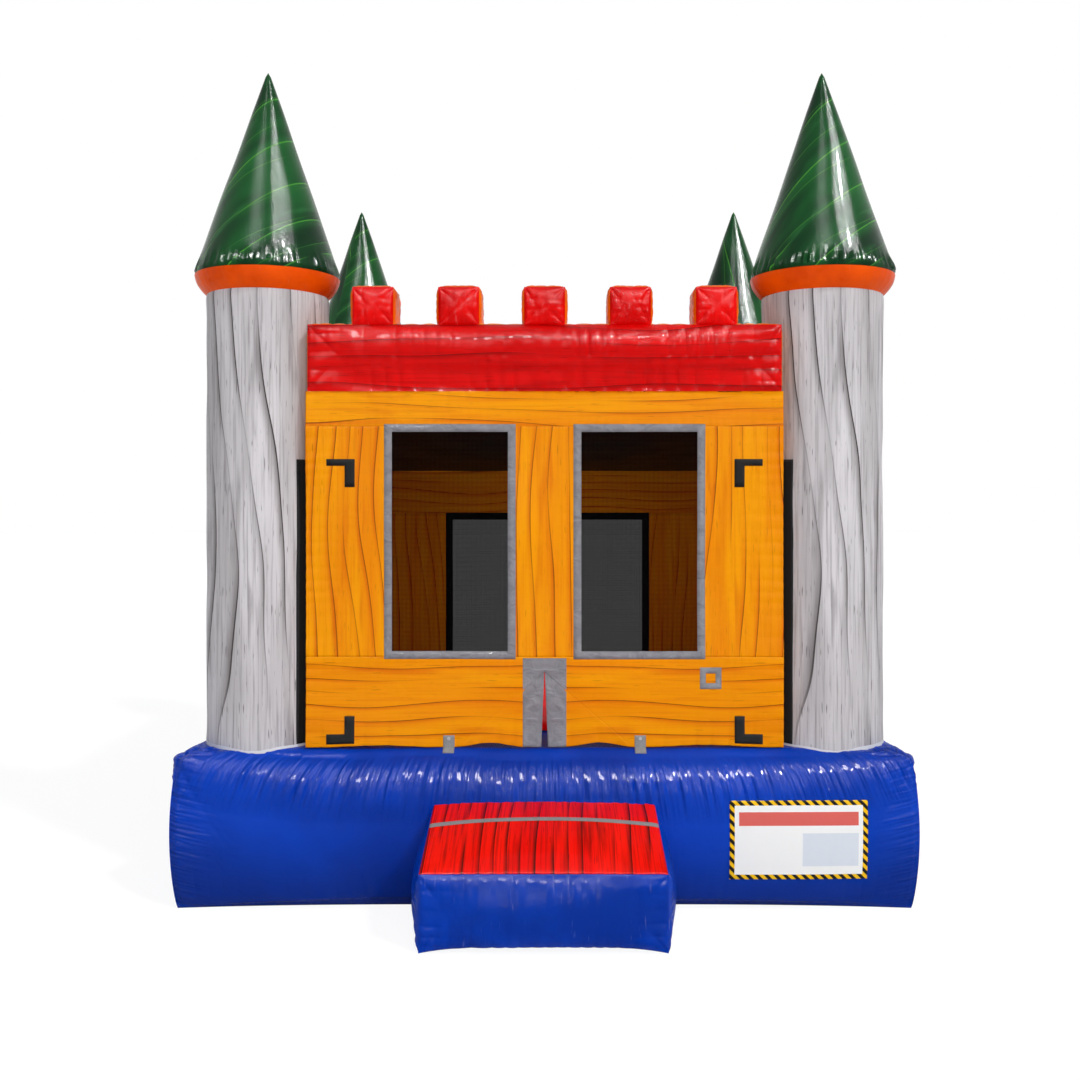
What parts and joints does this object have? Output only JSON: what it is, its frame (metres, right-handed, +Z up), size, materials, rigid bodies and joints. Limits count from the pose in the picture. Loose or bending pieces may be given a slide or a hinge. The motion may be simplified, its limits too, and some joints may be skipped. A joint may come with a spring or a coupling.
{
  "type": "inflatable bounce house",
  "caption": "Inflatable castle bounce house: blue air base, four grey columns with green spires, red battlement beam, netted yellow walls with a slit door, entry step.",
  "frame": {"origin": "middle of the air base's underside, on the ground", "axes": "+Z up; the doorway and step face -Y; +X to the right of someone facing the doorway"},
  "size_m": [4.036, 5.074, 4.656],
  "materials": {
    "blue_vinyl": "glossy coated fabric",
    "red_vinyl": "glossy coated fabric",
    "wood_grey_vinyl": "printed weathered wood grain, satin",
    "orange_vinyl": "glossy coated fabric",
    "green_vinyl": "marbled print, glossy",
    "yellow_vinyl": "printed wood grain, satin",
    "black_vinyl": "matt coated fabric",
    "black_net": "knotless safety net",
    "grey_tape": "wrinkled reinforcing tape",
    "black_hook_loop": "hook-and-loop tape",
    "grey_webbing": "woven webbing",
    "white_board": "printed panel",
    "steel": "zinc plated"
  },
  "bodies": {
    "house": {"base_cushion": "blue_vinyl", "entry_step": "blue_vinyl", "inlet_sleeve": "blue_vinyl", "base_baffles": "blue_vinyl", "bounce_floor": "red_vinyl", "step_top": "red_vinyl", "beam_front": "red_vinyl", "merlons": "red_vinyl", "column_front_left": "wood_grey_vinyl", "column_front_right": "wood_grey_vinyl", "column_rear_left": "wood_grey_vinyl", "column_rear_right": "wood_grey_vinyl", "collar_front_left": "orange_vinyl", "collar_front_right": "orange_vinyl", "collar_rear_left": "orange_vinyl", "collar_rear_right": "orange_vinyl", "beam_left": "orange_vinyl", "beam_right": "orange_vinyl", "beam_rear": "orange_vinyl", "spire_front_left": "green_vinyl", "spire_front_right": "green_vinyl", "spire_rear_left": "green_vinyl", "spire_rear_right": "green_vinyl", "front_header_band": "yellow_vinyl", "front_uprights": "yellow_vinyl", "front_lower_left": "yellow_vinyl", "front_lower_right": "yellow_vinyl", "front_side_returns": "yellow_vinyl", "rear_wall_panels": "yellow_vinyl", "left_wall_panels": "yellow_vinyl", "right_wall_panels": "yellow_vinyl", "roof_cover": "black_vinyl", "wall_borders": "black_vinyl", "zip_tape": "black_vinyl", "front_window_nets": "black_net", "rear_wall_net": "black_net", "left_wall_net": "black_net", "right_wall_net": "black_net", "front_tape_frames": "grey_tape", "entrance_trim": "grey_tape", "hold_down_tabs": "grey_tape", "anchor_patches": "grey_tape", "hook_corners": "black_hook_loop", "hook_strips": "black_hook_loop", "step_strap": "grey_webbing", "sleeve_strap": "grey_webbing", "anchor_loops": "grey_webbing", "info_board": "white_board", "tab_snaps": "steel"},
    "right_door_flap": {"door_flap_right": "yellow_vinyl", "door_trim_right": "grey_tape"},
    "left_door_flap": {"door_flap_left": "yellow_vinyl", "door_trim_left": "grey_tape"},
    "deflation_slider": {"zip_slider": "steel"},
    "deflation_cover": {"zip_cover": "blue_vinyl"},
    "sleeve_check_flap": {"inlet_check_flap": "blue_vinyl"},
    "ring_front_left": {"d_ring_front_left": "steel"},
    "ring_front_right": {"d_ring_front_right": "steel"},
    "ring_rear_left": {"d_ring_rear_left": "steel"},
    "ring_rear_right": {"d_ring_rear_right": "steel"}
  },
  "joints": [
    {"name": "right_flap_fold", "type": "hinge", "parent": "house", "child": "right_door_flap", "pos_m": [0.24, -1.8815, 1.0535], "axis": [-0.7596, 0, 0.6504], "range_deg": [-75, 75]},
    {"name": "left_flap_fold", "type": "hinge", "parent": "house", "child": "left_door_flap", "pos_m": [-0.24, -1.8815, 1.0535], "axis": [-0.7596, 0, -0.6504], "range_deg": [-75, 75]},
    {"name": "deflation_slider_travel", "type": "slide", "parent": "house", "child": "deflation_slider", "axis": [0.9998, 0.0174, 0], "range_m": [0, 0.5]},
    {"name": "deflation_cover_hinge", "type": "hinge", "parent": "house", "child": "deflation_cover", "pos_m": [-0.9, 2.01195, 0.4415], "axis": [0.9998, 0.0174, 0], "range_deg": [0, 80]},
    {"name": "check_flap_hinge", "type": "hinge", "parent": "house", "child": "sleeve_check_flap", "pos_m": [1, 1.98151, 0.32], "axis": [-1, 0, 0], "range_deg": [0, 60]},
    {"name": "ring_swing_front_left", "type": "hinge", "parent": "house", "child": "ring_front_left", "pos_m": [-2.00504, -1.5, 0.2], "axis": [0, 1, 0], "range_deg": [0, 150]},
    {"name": "ring_swing_front_right", "type": "hinge", "parent": "house", "child": "ring_front_right", "pos_m": [2.00504, -1.5, 0.2], "axis": [0, -1, 0], "range_deg": [0, 150]},
    {"name": "ring_swing_rear_left", "type": "hinge", "parent": "house", "child": "ring_rear_left", "pos_m": [-2.00504, 1.5, 0.2], "axis": [0, 1, 0], "range_deg": [0, 150]},
    {"name": "ring_swing_rear_right", "type": "hinge", "parent": "house", "child": "ring_rear_right", "pos_m": [2.00504, 1.5, 0.2], "axis": [0, -1, 0], "range_deg": [0, 150]}
  ]
}
